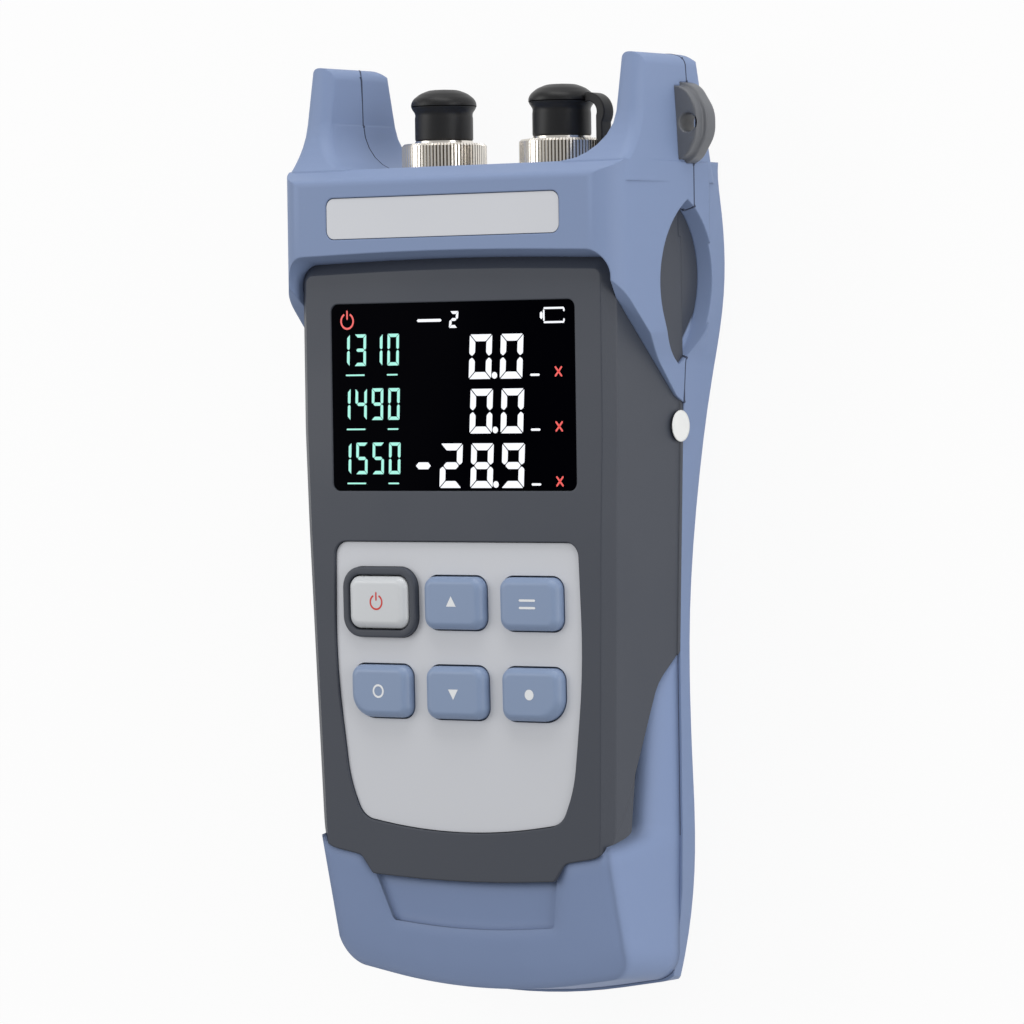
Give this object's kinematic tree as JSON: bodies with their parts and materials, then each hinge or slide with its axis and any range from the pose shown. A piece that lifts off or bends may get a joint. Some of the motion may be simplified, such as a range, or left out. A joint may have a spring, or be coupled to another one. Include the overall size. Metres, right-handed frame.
{
  "type": "optical power meter",
  "caption": "Handheld optical power meter with two capped ports between raised horns, a colour display, a keypad and a rubber overmould.",
  "frame": {"origin": "centre of the footprint on the surface that the meter's back lies on", "axes": "+Y along the meter from its foot to the optical ports, +X to the right across the display, +Z out of the display"},
  "size_m": [0.1024, 0.2037, 0.0463],
  "materials": {
    "grey_shell": "fine spark texture",
    "blue_rubber": "smooth soft-touch overmould",
    "display_lens": "gloss",
    "lcd_frame": "satin",
    "circuit_board": "solder mask",
    "silver_plate": "satin silver",
    "key_mat": "silicone",
    "cell_jacket": "printed jacket",
    "nickel": "bright nickel plate",
    "steel_screw": "zinc plated",
    "white_sticker": "matt",
    "detector_can": "satin",
    "grey_lug": "satin",
    "black_rubber": "satin rubber",
    "white_key": "gloss",
    "blue_key": "satin rubber"
  },
  "bodies": {
    "housing": {"front_case": "grey_shell", "rear_case": "grey_shell", "front_top_bumper": "blue_rubber", "front_bottom_bumper": "blue_rubber", "rear_bumper": "blue_rubber", "display_window": "display_lens", "lcd_module": "lcd_frame", "main_board": "circuit_board", "header_plate": "silver_plate", "keypad_panel": "silver_plate", "power_key_bezel": "grey_shell", "keypad_mat": "key_mat", "keypad_board": "circuit_board", "battery_cells": "cell_jacket", "battery_contacts": "nickel", "case_screws": "steel_screw", "side_sticker": "white_sticker", "left_adapter": "nickel", "right_adapter": "nickel", "left_detector": "detector_can", "right_detector": "detector_can", "left_strap_lug": "grey_lug", "right_strap_lug": "grey_lug"},
    "left_nut": {"left_knurled_nut": "nickel"},
    "right_nut": {"right_knurled_nut": "nickel"},
    "left_cap": {"left_dust_cap": "black_rubber"},
    "right_cap": {"right_dust_cap": "black_rubber", "cap_tether": "black_rubber"},
    "door": {"battery_door": "blue_rubber"},
    "power_key": {"power_key": "white_key"},
    "up_key": {"up_key": "blue_key"},
    "threshold_key": {"threshold_key": "blue_key"},
    "reference_key": {"reference_key": "blue_key"},
    "down_key": {"down_key": "blue_key"},
    "select_key": {"select_key": "blue_key"}
  },
  "joints": [
    {"name": "power_key_press", "type": "slide", "parent": "housing", "child": "power_key", "axis": [0, 0.0175, -0.9998], "range_m": [0, 0.0009], "stiffness_N_per_m": 900, "springref_m": -0.0003},
    {"name": "up_key_press", "type": "slide", "parent": "housing", "child": "up_key", "axis": [0, 0.0175, -0.9998], "range_m": [0, 0.0009], "stiffness_N_per_m": 900, "springref_m": -0.0003},
    {"name": "threshold_key_press", "type": "slide", "parent": "housing", "child": "threshold_key", "axis": [0, 0.0175, -0.9998], "range_m": [0, 0.0009], "stiffness_N_per_m": 900, "springref_m": -0.0003},
    {"name": "reference_key_press", "type": "slide", "parent": "housing", "child": "reference_key", "axis": [0, 0.0175, -0.9998], "range_m": [0, 0.0009], "stiffness_N_per_m": 900, "springref_m": -0.0003},
    {"name": "down_key_press", "type": "slide", "parent": "housing", "child": "down_key", "axis": [0, 0.0175, -0.9998], "range_m": [0, 0.0009], "stiffness_N_per_m": 900, "springref_m": -0.0003},
    {"name": "select_key_press", "type": "slide", "parent": "housing", "child": "select_key", "axis": [0, 0.0175, -0.9998], "range_m": [0, 0.0009], "stiffness_N_per_m": 900, "springref_m": -0.0003},
    {"name": "left_nut_turn", "type": "hinge", "parent": "housing", "child": "left_nut", "pos_m": [-0.0157, 0.08, 0.0226], "axis": [0, 1, 0], "continuous": true},
    {"name": "left_cap_pull", "type": "slide", "parent": "housing", "child": "left_cap", "axis": [0, 1, 0], "range_m": [0, 0.02]},
    {"name": "right_nut_turn", "type": "hinge", "parent": "housing", "child": "right_nut", "pos_m": [0.0157, 0.08, 0.0226], "axis": [0, 1, 0], "continuous": true},
    {"name": "right_cap_pull", "type": "slide", "parent": "housing", "child": "right_cap", "axis": [0, 1, 0], "range_m": [0, 0.02]},
    {"name": "door_lift", "type": "slide", "parent": "housing", "child": "door", "axis": [0, 0, -1], "range_m": [0, 0.006]}
  ]
}
